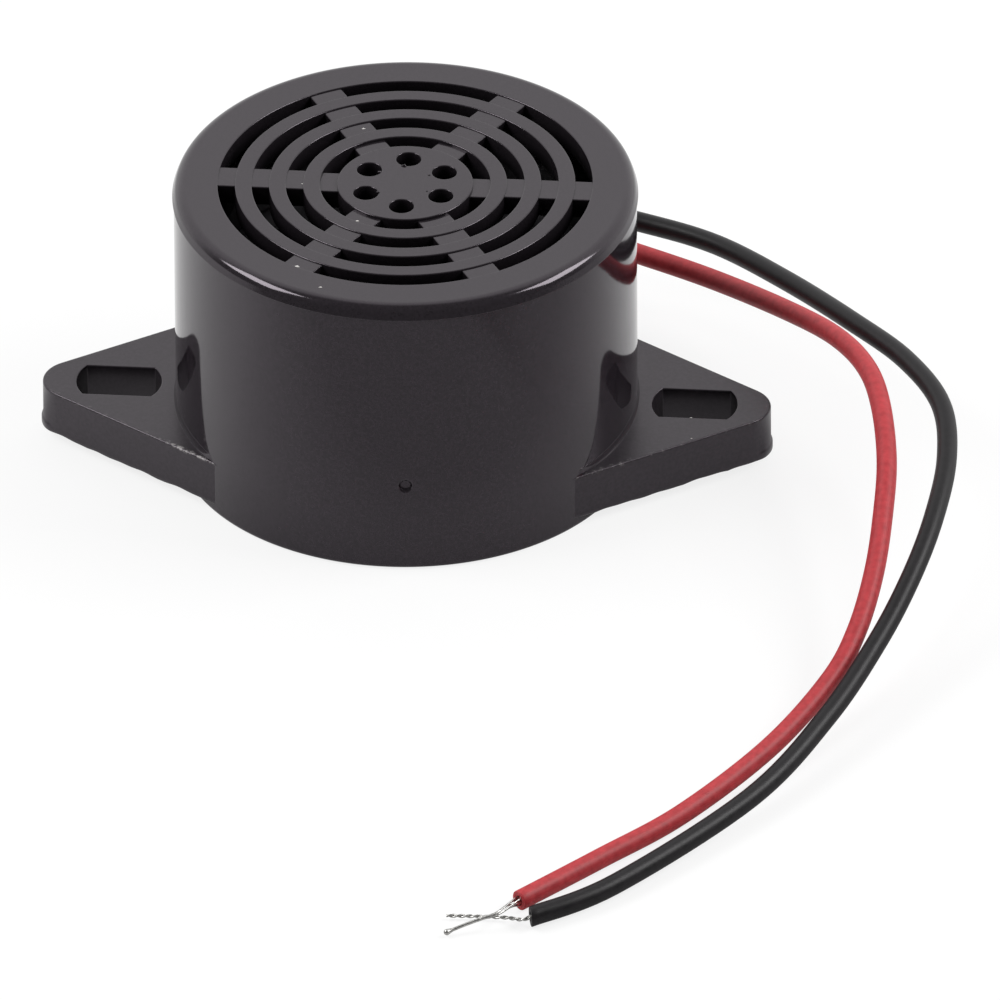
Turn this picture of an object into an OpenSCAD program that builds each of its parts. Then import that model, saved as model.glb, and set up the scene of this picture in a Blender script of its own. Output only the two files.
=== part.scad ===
// Panel buzzer: a round moulded housing with two screw ears, a slotted grille cover,
// an electromagnetic sounder on a small driver board, and two flying leads.
// The base stands on z = 0, the ears lie along X and the leads leave at the back, +Y.

/* [Housing] */
// Outside diameter of the round housing
body_d = 27; // [22:0.1:34]
// Height of the housing, from the base to the seat of the cover
body_h = 17.35; // [14:0.05:24]
// Thickness of the housing's wall
wall_t = 1.3; // [1:0.05:1.6]
// Thickness of the housing's floor
floor_t = 1.6; // [1:0.1:2.4]
// Diameter of the round gate mark on the front wall
gate_d = 0.9; // [0.4:0.1:1.2]
// Depth of the gate mark
gate_depth = 0.2; // [0.1:0.05:0.4]
// Height of the gate mark above the base
gate_z = 5.8; // [5:0.1:12]
// Direction of the gate mark around the housing, from +X
gate_angle = -85.5; // [-110:0.5:-70]

/* [Ears] */
// Thickness of the ears
ear_t = 3; // [2:0.1:3.4]
// Gap between the ears' underside and the base plane
ear_lift = 0.6; // [0.2:0.05:0.8]
// Radius of the ear tips
ear_tip_r = 2.1; // [1.7:0.1:3]
// Distance inside the housing's wall of the circle that the ears' straight edges are tangent to
ear_inset = 0.5; // [0.3:0.05:1.5]
// Fillet where the ears' top meets the wall
ear_fillet_r = 0.4; // [0.2:0.05:0.8]
// Step at the mould's parting line around the ears' lower half
parting_step = 0.1; // [0.05:0.01:0.15]
// Height of the stepped lower half of the ears
parting_h = 0.9; // [0.5:0.1:1.5]
// Length of a screw slot, which is also the diameter of its round ends
slot_len = 5; // [4:0.1:6]
// Width of a screw slot between its flats
slot_w = 3; // [2.2:0.1:3.4]
// Distance from the housing's wall to a screw slot
slot_gap = 1; // [0.6:0.1:3]
// Distance from a screw slot to the tip of its ear
ear_end_w = 2; // [1.5:0.1:4]

/* [Cover] */
// How far the cover's rim stands out past the housing's wall
rim_overhang = 0.2; // [0.1:0.05:0.6]
// Height of the straight part of the rim
rim_land = 0.1; // [0.05:0.05:0.5]
// Radius of the rounded edge on the cover's rim
rim_edge_r = 0.75; // [0.4:0.05:1]
// Thickness of the grille plate
plate_t = 1.3; // [1:0.1:1.8]
// Thickness of the skirt that reaches down inside the housing
skirt_t = 0.9; // [0.65:0.05:1.1]

/* [Grille] */
// Radius of the solid hub, where the first ring of slots starts
hub_r = 4; // [3.2:0.1:5]
// Width of the slots
ring_slot_w = 1; // [0.6:0.05:1.4]
// Width of the rings left between the slots
ring_land_w = 1; // [0.6:0.05:1.4]
// Smallest distance from the last ring of slots to the skirt
grille_margin = 0.2; // [0.1:0.05:0.5]
// Number of spokes that carry the rings
spoke_count = 6; // [3:1:8]
// Width of a spoke
spoke_w = 2; // [1:0.1:2.4]
// Depth of the spokes below the rings' top
spoke_sink = 0.25; // [0.1:0.05:0.5]
// Diameter of the small holes in the hub
hub_hole_d = 1.45; // [0.8:0.05:1.6]
// Distance of the hub holes' centres from the hub's edge
hub_hole_inset = 1.45; // [1.1:0.05:1.6]

/* [Driver board] */
// Height of the moulded posts under the board
post_h = 2; // [1.8:0.1:2.6]
// Diameter of the posts
post_d = 2.4; // [1.6:0.1:3]
// Number of posts
post_count = 3; // [3:1:6]
// Thickness of the board
board_t = 1; // [0.8:0.1:1.6]
// Length of the transistor's body
transistor_l = 2.9; // [2:0.1:3.2]
// Width of the transistor's body
transistor_w = 1.3; // [1:0.1:1.6]
// Height of the transistor's body
transistor_h = 1; // [0.8:0.05:1.1]
// Length of the resistor
resistor_l = 2; // [1.6:0.1:3.2]
// Width of the resistor
resistor_w = 1.25; // [0.8:0.05:1.6]
// Height of the resistor
resistor_h = 0.5; // [0.4:0.05:0.7]
// Length of the diode
diode_l = 3.4; // [2.6:0.1:3.6]
// Diameter of the diode
diode_d = 1.4; // [1:0.05:1.6]
// Distance of these parts from the centre of the board
part_r = 5.8; // [4.8:0.1:7]

/* [Sounder] */
// Thickness of the steel yoke plate
yoke_t = 1; // [0.8:0.1:1.4]
// Width of the yoke plate left bare around the magnet
yoke_lip = 0.3; // [0.2:0.05:0.6]
// Diameter of the pole core
core_d = 4; // [3.4:0.1:4.8]
// Diameter of the core's rivet shank through yoke and board
shank_d = 2.8; // [2:0.1:3.2]
// Height of the rivet head under the board
rivet_h = 0.5; // [0.3:0.1:0.8]
// Diameter of the rivet head
rivet_d = 4; // [3.4:0.1:5]
// Height that the core stands above the bobbin
pole_stand = 0.4; // [0.2:0.05:0.8]
// Gap between the pole core and the diaphragm
air_gap = 0.4; // [0.2:0.05:0.6]
// Thickness of the bobbin's walls and flanges
bobbin_t = 0.5; // [0.4:0.05:0.7]
// Height of the bobbin
bobbin_h = 4.6; // [3.8:0.1:5.6]
// Depth of the inner winding
drive_w = 1.05; // [0.6:0.05:1.4]
// Depth of the outer winding
feedback_w = 0.7; // [0.4:0.05:1]
// Height of the bobbin's flanges above the windings
flange_lip = 0.4; // [0.2:0.05:0.6]
// Width of the ring magnet
magnet_w = 2.2; // [1.5:0.1:2.8]
// Height of the ring magnet
magnet_h = 4; // [3:0.1:4.8]
// Thickness of the diaphragm
diaphragm_t = 0.15; // [0.1:0.05:0.3]
// Diameter of the armature disc
armature_d = 8; // [6:0.1:10]
// Thickness of the armature disc
armature_t = 0.8; // [0.5:0.1:1.2]
// Width of the support ring's wall around the diaphragm
seat_w = 0.6; // [0.4:0.05:0.8]
// Depth of the diaphragm's seat in the support ring
seat_depth = 0.5; // [0.4:0.05:0.8]
// Width of the ledge that the diaphragm lies on
ledge_w = 1.1; // [0.8:0.05:1.3]

/* [Leads] */
// Diameter of the leads' insulation
lead_d = 1.2; // [1:0.05:1.3]
// Distance between the two lead holes
lead_pitch = 3; // [2.4:0.1:3.4]
// Diameter of the bare strands
strand_d = 0.4; // [0.3:0.05:0.5]
// Radius of the solder joints on the board
solder_r = 0.75; // [0.6:0.01:0.9]

/* [Clearances] */
// Gap between a loose round piece and the bore around it
slip_gap = 0.1; // [0.05:0.05:0.15]
// Gap around a close-fitting pin or lead
close_gap = 0.05; // [0.03:0.01:0.08]
// Height of the leads above the board
lead_lift = 0.1; // [0.05:0.05:0.15]
// Gap between the yoke plate and the support ring
yoke_gap = 0.5; // [0.3:0.05:0.8]
// Length of insulation that reaches into the housing
lead_reach = 0.5; // [0.4:0.05:0.6]

/* [Hidden] */
$fn = 96;

cut = 1;                                  // overrun of a cutting solid past the face that it opens
tiny = 0.001;                             // keeps a whole number whole when it is rounded down

// Radii from the outside of the housing inward
body_r = body_d / 2;
bore_r = body_r - wall_t;
cover_r = body_r + rim_overhang;
slip_r = bore_r - slip_gap;               // outside radius of what slides into the bore
skirt_r = slip_r - skirt_t;
seat_r = slip_r - seat_w;
diaphragm_r = seat_r - slip_gap;
support_r = diaphragm_r - ledge_w;
yoke_r = support_r - yoke_gap;
magnet_outer_r = yoke_r - yoke_lip;
magnet_inner_r = magnet_outer_r - magnet_w;

// Radii from the pole core outward
spool_bore_r = core_d / 2 + close_gap;
spool_r = spool_bore_r + bobbin_t;
drive_r = spool_r + drive_w;
feedback_r = drive_r + feedback_w;
bobbin_r = feedback_r + flange_lip;

// Levels from the base upward
board_z = floor_t + post_h;
board_top = board_z + board_t;
yoke_top = board_top + yoke_t;
core_top = yoke_top + bobbin_h + pole_stand;
diaphragm_z = core_top + air_gap;
support_top = diaphragm_z + seat_depth;
ear_top = ear_lift + ear_t;
rim_h = rim_land + rim_edge_r;
total_h = body_h + rim_h;
plate_z = total_h - plate_t;
lead_z = board_top + lead_lift + lead_d / 2;

// Ears: each straight edge is the common tangent of the flare circle and the tip circle
slot_x = body_r + slot_gap + slot_len / 2;
flare_r = body_r - ear_inset;
ear_tip_x = slot_x + slot_len / 2 + ear_end_w - ear_tip_r;
ear_normal = acos((flare_r - ear_tip_r) / ear_tip_x);

// Grille: as many rings of slots as fit between the hub and the skirt
ring_pitch = ring_slot_w + ring_land_w;
ring_count = floor((skirt_r - grille_margin - hub_r + ring_land_w) / ring_pitch + tiny);
hub_hole_r = hub_r - hub_hole_inset;

// Driver board parts
post_ring_r = bore_r - post_d;
first_post = -90;                         // angles around the board, from +X
transistor_angle = -30;
resistor_angle = 210;
diode_angle = 90;
lead_end_y = bore_r - lead_reach;
solder_y = lead_end_y - solder_r - close_gap;
notch_w = lead_pitch + 2 * lead_d;
notch_h = lead_lift + lead_d + lead_d / 2;
cap_share = 0.22;                         // share of the diode's length in each metal end cap
cap_rise = 0.05;                          // how far the end caps stand proud of the diode's glass

// Lead routes: round numbers, from the outside of the wall to the cut end on the ground
lead_sides = 8;
lead_steps = 2;
red_route = [
  [1.5, 14.3, 5.3], [3.2, 16.2, 5.3], [7.8, 15.8, 5.1], [12.7, 13.9, 4.8], [17.4, 10.8, 5.2],
  [22.2, 5.6, 6.6], [25.3, 1.5, 7.6], [27.3, -2.2, 8], [28.4, -5.8, 7.8], [29.1, -10.3, 7],
  [29.2, -14.3, 5.9], [29, -18.8, 4.6], [28.3, -23.2, 3.3], [27, -26.9, 2.2], [23.9, -32.8, 1.25],
  [19.3, -39.4, 0.75], [14.9, -44.2, 0.62], [10.6, -48.9, 0.62]
];
black_route = [
  [-1.5, 14.6, 5.3], [0.2, 17.5, 5.4], [4, 18.7, 5.4], [8.4, 17.9, 5.3], [12.6, 16.9, 5.1],
  [17.2, 14.2, 5.5], [21.8, 9.3, 6.3], [26, 3.9, 7.2], [29.5, -0.6, 7.6], [31.9, -5.1, 7.5],
  [32.6, -9.9, 6.9], [32.2, -15, 6], [31.2, -19.6, 4.8], [29.6, -24.4, 3.4], [27.1, -30.6, 2.1],
  [23.2, -37.9, 1.1], [16, -46.9, 0.7], [11.4, -50.5, 0.62]
];
red_strand_route = [
  [10.54, -48.97, 0.62], [10.2, -49.5, 0.76], [9.5, -50.8, 0.95], [8.6, -51.2, 0.8],
  [7.6, -51.5, 0.5], [6.5, -52.05, 0.25]
];
black_strand_route = [
  [11.32, -50.56, 0.62], [10.95, -50.7, 0.52], [9.9, -50.2, 0.28], [8.15, -50.15, 0.25],
  [6.5, -50.2, 0.25]
];

// Catmull-Rom curve through route points, with a number of steps in each span
function blend(a, b, c, d, t) =
  0.5 * (2 * b + (c - a) * t + (2 * a - 5 * b + 4 * c - d) * t * t
    + (3 * b - a - 3 * c + d) * t * t * t);
function curve(p, steps) = let (last = len(p) - 1) [
  for (i = [0 : last - 1])
    for (k = [0 : steps - 1])
      blend(p[max(i - 1, 0)], p[i], p[i + 1], p[min(i + 2, last)], k / steps),
  p[last]
];

// Level frame of a path at one of its points: a sideways and an upward direction across it
function unit(v) = v / norm(v);
function heading(p, i) = unit(p[min(i + 1, len(p) - 1)] - p[max(i - 1, 0)]);
function sideways(t) = unit(cross(t, [0, 0, 1]));
function ring(p, i, r, sides) =
  let (t = heading(p, i), s = sideways(t), u = cross(s, t))
  [for (k = [0 : sides - 1]) p[i] + r * (cos(k * 360 / sides) * s + sin(k * 360 / sides) * u)];

// Round tube along a path, closed by flat ends
module tube(path, d, sides) {
  rows = len(path);
  polyhedron(
    points = [for (i = [0 : rows - 1]) each ring(path, i, d / 2, sides)],
    faces = [
      [for (k = [0 : sides - 1]) k],
      for (i = [0 : rows - 2])
        for (k = [0 : sides - 1])
          let (next = (k + 1) % sides)
          [i * sides + next, i * sides + k, (i + 1) * sides + k, (i + 1) * sides + next],
      [for (k = [sides - 1 : -1 : 0]) (rows - 1) * sides + k]
    ]
  );
}

module ring_solid(outer_r, inner_r, h) {
  difference() {
    cylinder(r = outer_r, h = h);
    translate([0, 0, -cut])
      cylinder(r = inner_r, h = h + 2 * cut);
  }
}

// Plan of both ears, grown outward by an even step
module ear_plan(grow) {
  root_r = flare_r + grow;
  tip_r = ear_tip_r + grow;
  for (side = [0, 180])
    rotate(side) {
      polygon([
        [root_r * cos(ear_normal), -root_r * sin(ear_normal)],
        [ear_tip_x + tip_r * cos(ear_normal), -tip_r * sin(ear_normal)],
        [ear_tip_x + tip_r * cos(ear_normal), tip_r * sin(ear_normal)],
        [root_r * cos(ear_normal), root_r * sin(ear_normal)]
      ]);
      translate([ear_tip_x, 0])
        circle(r = tip_r);
    }
}

module ears() {
  translate([0, 0, ear_lift]) {
    linear_extrude(ear_t)
      ear_plan(0);
    linear_extrude(parting_h)
      ear_plan(parting_step);
  }
}

// Concave fillet around the wall, kept only above the ears
module ear_fillet() {
  intersection() {
    translate([0, 0, ear_top])
      rotate_extrude()
        difference() {
          translate([bore_r, 0])
            square([wall_t + ear_fillet_r, ear_fillet_r]);
          translate([body_r + ear_fillet_r, ear_fillet_r])
            circle(r = ear_fillet_r);
        }
    translate([0, 0, ear_top])
      linear_extrude(ear_fillet_r)
        ear_plan(0);
  }
}

// A round hole with two flats
module screw_slot() {
  translate([0, 0, -cut])
    linear_extrude(ear_top + 2 * cut)
      intersection() {
        circle(d = slot_len);
        square([slot_len + cut, slot_w], center = true);
      }
}

module lead_holes() {
  for (side = [-1, 1])
    translate([side * lead_pitch / 2, bore_r - cut, lead_z])
      rotate([-90, 0, 0])
        cylinder(d = lead_d + 2 * close_gap, h = wall_t + 2 * cut);
}

module gate_mark() {
  rotate(gate_angle)
    translate([body_r - gate_depth, 0, gate_z])
      rotate([0, 90, 0])
        cylinder(d = gate_d, h = gate_depth + cut);
}

module posts() {
  for (i = [0 : post_count - 1])
    rotate(first_post + i * 360 / post_count)
      translate([post_ring_r, 0, 0])
        cylinder(d = post_d, h = board_z);
}

module housing() {
  color("#1b1a1c")
    union() {
      difference() {
        union() {
          cylinder(r = body_r, h = body_h);
          ears();
          ear_fillet();
        }
        translate([0, 0, floor_t])
          cylinder(r = bore_r, h = body_h);
        for (side = [-1, 1])
          translate([side * slot_x, 0, 0])
            screw_slot();
        lead_holes();
        gate_mark();
      }
      posts();
    }
}

// Half section of the cover without its openings: rim with a rounded edge, plate and skirt
module cover_section() {
  difference() {
    union() {
      translate([0, body_h])
        square([cover_r - rim_edge_r, rim_h]);
      translate([0, body_h])
        square([cover_r, rim_h - rim_edge_r]);
      intersection() {
        translate([cover_r - rim_edge_r, total_h - rim_edge_r])
          circle(r = rim_edge_r);
        translate([0, total_h - rim_edge_r])
          square([cover_r, rim_edge_r]);
      }
      translate([0, support_top])
        square([slip_r, total_h - rim_edge_r - support_top]);
    }
    translate([0, support_top - cut])
      square([skirt_r, plate_z - support_top + cut]);
  }
}

module spokes() {
  for (i = [0 : spoke_count - 1])
    rotate(i * 360 / spoke_count)
      translate([0, -spoke_w / 2, plate_z - cut])
        cube([cover_r, spoke_w, plate_t - spoke_sink + cut]);
}

module ring_slots() {
  for (i = [0 : ring_count - 1])
    translate([0, 0, plate_z - cut])
      ring_solid(hub_r + i * ring_pitch + ring_slot_w, hub_r + i * ring_pitch, plate_t + 2 * cut);
}

module grille_cover() {
  color("#242326")
    difference() {
      rotate_extrude()
        cover_section();
      difference() {
        ring_slots();
        spokes();
      }
      for (i = [0 : spoke_count - 1])
        rotate((i + 0.5) * 360 / spoke_count)
          translate([hub_hole_r, 0, plate_z - cut])
            cylinder(d = hub_hole_d, h = plate_t + 2 * cut);
    }
}

module drive_board() {
  color("#7a5a2c")
    translate([0, 0, board_z])
      ring_solid(slip_r, shank_d / 2 + close_gap, board_t);
}

module transistor() {
  color("#202022")
    rotate(transistor_angle)
      translate([part_r, 0, board_z - transistor_h / 2])
        cube([transistor_w, transistor_l, transistor_h], center = true);
}

module base_resistor() {
  color("#2c2d33")
    rotate(resistor_angle)
      translate([part_r, 0, board_z - resistor_h / 2])
        cube([resistor_w, resistor_l, resistor_h], center = true);
}

// Glass cylinder with a metal cap at each end
module flyback_diode() {
  cap_l = diode_l * cap_share;
  cap_d = diode_d + 2 * cap_rise;
  color("#b06a4a")
    rotate(diode_angle)
      translate([part_r, -diode_l / 2, board_z - cap_d / 2])
        rotate([-90, 0, 0]) {
          cylinder(d = diode_d, h = diode_l);
          cylinder(d = cap_d, h = cap_l);
          translate([0, 0, diode_l - cap_l])
            cylinder(d = cap_d, h = cap_l);
        }
}

// Solder cone on the board around each lead's inner end
module solder_joints() {
  strand_h = lead_z - board_top;
  color("#b9bbc0")
    for (side = [-1, 1])
      translate([side * lead_pitch / 2, solder_y, board_top])
        union() {
          cylinder(r1 = solder_r, r2 = strand_d, h = strand_h + strand_d);
          translate([0, 0, strand_h])
            rotate([-90, 0, 0])
              cylinder(d = strand_d, h = lead_end_y - solder_y);
        }
}

module yoke_plate() {
  color("#8b8e94")
    translate([0, 0, board_top])
      ring_solid(yoke_r, shank_d / 2 + close_gap, yoke_t);
}

// Pin with a shoulder on the yoke, and a shank riveted under the board
module pole_core() {
  color("#a3a6ab")
    union() {
      translate([0, 0, yoke_top])
        cylinder(d = core_d, h = core_top - yoke_top);
      translate([0, 0, board_z])
        cylinder(d = shank_d, h = yoke_top - board_z);
      translate([0, 0, board_z - rivet_h])
        cylinder(d = rivet_d, h = rivet_h);
    }
}

module coil_bobbin() {
  color("#e8e4d6")
    translate([0, 0, yoke_top])
      union() {
        ring_solid(spool_r, spool_bore_r, bobbin_h);
        for (z = [0, bobbin_h - bobbin_t])
          translate([0, 0, z])
            ring_solid(bobbin_r, spool_bore_r, bobbin_t);
      }
}

// A winding between the bobbin's flanges
module winding(outer_r, inner_r) {
  translate([0, 0, yoke_top + bobbin_t])
    ring_solid(outer_r, inner_r, bobbin_h - 2 * bobbin_t);
}

module drive_coil() {
  color("#b4662f")
    winding(drive_r, spool_r);
}

module feedback_coil() {
  color("#a85a28")
    winding(feedback_r, drive_r);
}

module ring_magnet() {
  color("#3a3a3d")
    translate([0, 0, yoke_top])
      ring_solid(magnet_outer_r, magnet_inner_r, magnet_h);
}

// Ring on the board with a seat for the diaphragm and a notch for the leads
module support_ring() {
  color("#4a4a4e")
    difference() {
      translate([0, 0, board_top])
        ring_solid(slip_r, support_r, support_top - board_top);
      translate([0, 0, diaphragm_z])
        cylinder(r = seat_r, h = seat_depth + cut);
      translate([-notch_w / 2, 0, board_top - cut])
        cube([notch_w, body_r, notch_h + cut]);
    }
}

module diaphragm() {
  color("#2e2f33")
    translate([0, 0, diaphragm_z])
      cylinder(r = diaphragm_r, h = diaphragm_t);
}

module armature_disc() {
  color("#35363a")
    translate([0, 0, diaphragm_z + diaphragm_t])
      cylinder(d = armature_d, h = armature_t);
}

// A lead starts inside the wall, runs straight through its hole and then follows its route
module lead(side, route) {
  inner_end = [side * lead_pitch / 2, lead_end_y, lead_z];
  outer_face = [side * lead_pitch / 2, body_r, lead_z];
  tube(concat([inner_end, outer_face], curve(route, lead_steps)), lead_d, lead_sides);
}

module red_lead() {
  color("#b8343a")
    lead(1, red_route);
}

module black_lead() {
  color("#232226")
    lead(-1, black_route);
}

module red_bare_end() {
  color("#c4c6ca")
    tube(curve(red_strand_route, lead_steps), strand_d, lead_sides);
}

module black_bare_end() {
  color("#c4c6ca")
    tube(curve(black_strand_route, lead_steps), strand_d, lead_sides);
}

housing();
grille_cover();
drive_board();
transistor();
base_resistor();
flyback_diode();
solder_joints();
yoke_plate();
pole_core();
coil_bobbin();
drive_coil();
feedback_coil();
ring_magnet();
support_ring();
diaphragm();
armature_disc();
red_lead();
black_lead();
red_bare_end();
black_bare_end();
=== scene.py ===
import math

import bpy
import numpy as np
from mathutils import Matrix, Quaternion, Vector


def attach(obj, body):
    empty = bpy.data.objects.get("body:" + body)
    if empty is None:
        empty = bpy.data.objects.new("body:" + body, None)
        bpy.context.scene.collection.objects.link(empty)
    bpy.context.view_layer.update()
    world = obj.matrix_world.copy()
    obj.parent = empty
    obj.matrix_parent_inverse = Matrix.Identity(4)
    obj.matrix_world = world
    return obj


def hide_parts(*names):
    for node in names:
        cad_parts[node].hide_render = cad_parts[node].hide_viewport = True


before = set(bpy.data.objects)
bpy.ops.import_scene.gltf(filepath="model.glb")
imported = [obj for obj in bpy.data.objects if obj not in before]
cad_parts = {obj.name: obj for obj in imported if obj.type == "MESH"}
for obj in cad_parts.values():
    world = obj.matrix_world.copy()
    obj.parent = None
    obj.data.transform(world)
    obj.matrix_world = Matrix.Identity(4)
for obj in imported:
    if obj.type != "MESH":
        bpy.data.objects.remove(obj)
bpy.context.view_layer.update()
scene = bpy.context.scene
mm = 0.001  # all sizes below are in millimetres
seamGap = 0.0005  # points nearer than this are welded
pinch = 1e-4  # what is left of a section where its end is drawn in to a point
print("frame loaded:", len(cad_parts), "CAD nodes")


def linear(hexColour):  # sRGB hex to linear RGBA
    srgb = np.array([int(hexColour[i:i + 2], 16) for i in (1, 3, 5)]) / 255
    rgb = np.where(srgb <= 0.04045, srgb / 12.92, ((srgb + 0.055) / 1.055) ** 2.4)
    return (*rgb.tolist(), 1.0)


# one node with its settings, socket values and links
def addNode(tree, kind, values=None, links=None, **settings):
    node = tree.nodes.new("ShaderNode" + kind)
    for name, value in settings.items():
        setattr(node, name, value)
    for name, value in (values or {}).items():
        node.inputs[name].default_value = value
    for name, source in (links or {}).items():
        tree.links.new(source, node.inputs[name])
    return node


def emptyTree(owner):  # a material or world with its nodes cleared
    owner.use_nodes = True
    owner.node_tree.nodes.clear()
    return owner.node_tree


def gridFaces(rows, cols, wrapRows, wrapCols):  # quads between neighbouring rows and columns of a grid
    i = np.arange(rows if wrapRows else rows - 1)[:, None]
    j = np.arange(cols if wrapCols else cols - 1)[None, :]
    a, b, c, d = i * cols, (i + 1) % rows * cols, j, (j + 1) % cols
    return np.stack(np.broadcast_arrays(a + c, a + d, b + d, b + c), -1).reshape(-1, 4)


def outward(points, quads):  # a closed shell with a negative volume is turned round
    a, b, c, d = (points[quads[:, k]] for k in range(4))
    volume = np.einsum("ij,ij->", a, np.cross(b, c) + np.cross(c, d))
    return quads if volume > 0 else quads[:, ::-1]


# grid of points (rows, cols, 3) to points, quads and marks
def shell(grid, wrapRows=True, wrapCols=True, mark=None):
    rows, cols = grid.shape[:2]
    points = grid.reshape(-1, 3)
    marks = np.zeros((rows, cols)) if mark is None else np.broadcast_to(mark, (rows, cols))
    return points, outward(points, gridFaces(rows, cols, wrapRows, wrapCols)), marks.reshape(-1)


# joins shells into one smooth mesh that rides on the part
def addPiece(name, shells, material, replaced=()):
    counts = np.cumsum([0] + [len(s[0]) for s in shells])
    points = np.concatenate([s[0] for s in shells]) * mm
    quads = np.concatenate([s[1] + n for s, n in zip(shells, counts)])
    marks = np.concatenate([s[2] for s in shells])
    mesh = bpy.data.meshes.new(name)
    mesh.from_pydata(points.tolist(), [], quads.tolist())
    mesh.attributes.new("mark", "FLOAT", "POINT").data.foreach_set("value", marks)
    mesh.validate()
    mesh.polygons.foreach_set("use_smooth", np.ones(len(mesh.polygons), bool))
    mesh.materials.append(material)
    piece = bpy.data.objects.new(name, mesh)
    scene.collection.objects.link(piece)
    weld = piece.modifiers.new("weld", "WELD")  # closes seams and poles
    weld.merge_threshold = seamGap * mm
    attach(piece, "root")
    if replaced:
        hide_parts(*replaced)
    print("piece", name, len(mesh.polygons), "faces")
    return piece


def smooth(low, high, x):  # 0 before low, 1 past high and a soft step between
    t = np.clip((x - low) / (high - low), 0, 1)
    return t * t * (3 - 2 * t)


# closed outline with an arc at each corner, and guard points beside it that keep the sides flat to the eye
def rounded(corners, radii, steps=6, guard=0.02):
    corners = np.array(corners, float)
    outline = []
    for before, corner, after, radius in zip(np.roll(corners, 1, 0), corners, np.roll(corners, -1, 0), radii):
        if radius == 0:
            outline.append(corner[None])
            continue
        u = (before - corner) / np.linalg.norm(before - corner)
        v = (after - corner) / np.linalg.norm(after - corner)
        half = math.acos(np.clip(u @ v, -1, 1)) / 2
        reach = radius / math.tan(half)
        middle = corner + (u + v) / np.linalg.norm(u + v) * radius / math.sin(half)
        p, q = corner + u * reach - middle, corner + v * reach - middle
        sweep = math.pi - 2 * half
        t = np.linspace(0, 1, steps + 1)[:, None]
        arc = middle + (np.sin((1 - t) * sweep) * p + np.sin(t * sweep) * q) / math.sin(sweep)
        outline += [corner[None] + u * (reach + guard), arc, corner[None] + v * (reach + guard)]
    return np.concatenate(outline)


def revolved(outline, angles):  # outline of radius and height carried round the Z axis
    c, s = np.cos(angles)[:, None], np.sin(angles)[:, None]
    r, z = outline[:, 0][None, :], outline[:, 1][None, :]
    return np.stack(np.broadcast_arrays(r * c, r * s, z), -1)


def turnedAbout(x, y, z, turn):  # points turned by an angle about the Z axis
    return np.stack([x * math.cos(turn) - y * math.sin(turn), x * math.sin(turn) + y * math.cos(turn), z], -1)


def catmullRom(points, steps):  # smooth curve through the points, with a number of steps in each span
    p = np.array(points, float)
    a, b, c, d = np.vstack([p[:1], p[:-2]]), p[:-1], p[1:], np.vstack([p[2:], p[-1:]])
    t = (np.arange(steps) / steps)[None, :, None]
    a, b, c, d = (x[:, None, :] for x in (a, b, c, d))
    square, cube = 2 * a - 5 * b + 4 * c - d, 3 * b - a - 3 * c + d
    curve = 0.5 * (2 * b + (c - a) * t + square * t ** 2 + cube * t ** 3)
    return np.vstack([curve.reshape(-1, 3), p[-1:]])


def levelFrame(path):  # heading, sideways and upward directions at each point of a path
    heading = np.gradient(path, axis=0)
    heading /= np.linalg.norm(heading, axis=1, keepdims=True)
    side = np.cross(heading, [0, 0, 1])
    side /= np.linalg.norm(side, axis=1, keepdims=True)
    return heading, side, np.cross(side, heading)


def swept(path, radii, sides):  # circle of changing radius carried along a path
    heading, side, up = levelFrame(path)
    turn = np.arange(sides) * 2 * math.pi / sides
    ring = np.cos(turn)[None, :, None] * side[:, None] + np.sin(turn)[None, :, None] * up[:, None]
    return path[:, None] + np.asarray(radii)[:, None, None] * ring


# Camera: a very long lens, because the picture shows almost no perspective
cameraSet = {"aim": (5.9625, -5.7905, 0.0), "azimuth": 4.9, "elevation": 33.23, "roll": -0.38,
             "distance": 2600, "pixelsPerMm": 17.01, "imagePixels": 1000, "sensor": 36, "clip": (0.1, 10)}
azimuth, elevation = math.radians(cameraSet["azimuth"]), math.radians(cameraSet["elevation"])
backward = Vector((math.sin(azimuth) * math.cos(elevation), -math.cos(azimuth) * math.cos(elevation),
                   math.sin(elevation)))
camera = bpy.data.objects.new("camera", bpy.data.cameras.new("camera"))
scene.collection.objects.link(camera)
camera.data.sensor_width = cameraSet["sensor"]
camera.data.lens = (cameraSet["pixelsPerMm"] * cameraSet["distance"] * cameraSet["sensor"]
                    / cameraSet["imagePixels"])
camera.data.clip_start, camera.data.clip_end = cameraSet["clip"]
camera.location = Vector(cameraSet["aim"]) * mm + backward * cameraSet["distance"] * mm
camera.rotation_mode = "QUATERNION"
roll = Quaternion((0, 0, 1), math.radians(cameraSet["roll"]))
camera.rotation_quaternion = (-backward).to_track_quat("-Z", "Y") @ roll
scene.camera = camera
print("camera set")


# Materials: each starts from a dictionary of what a user would change
grainSpan = {"From Min": 0.3, "From Max": 0.7}  # the noise's usual range, spread over both tones
grainDepth = 0.1  # depth of the bump, as a share of the grain's size
usualIor = 1.5


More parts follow.
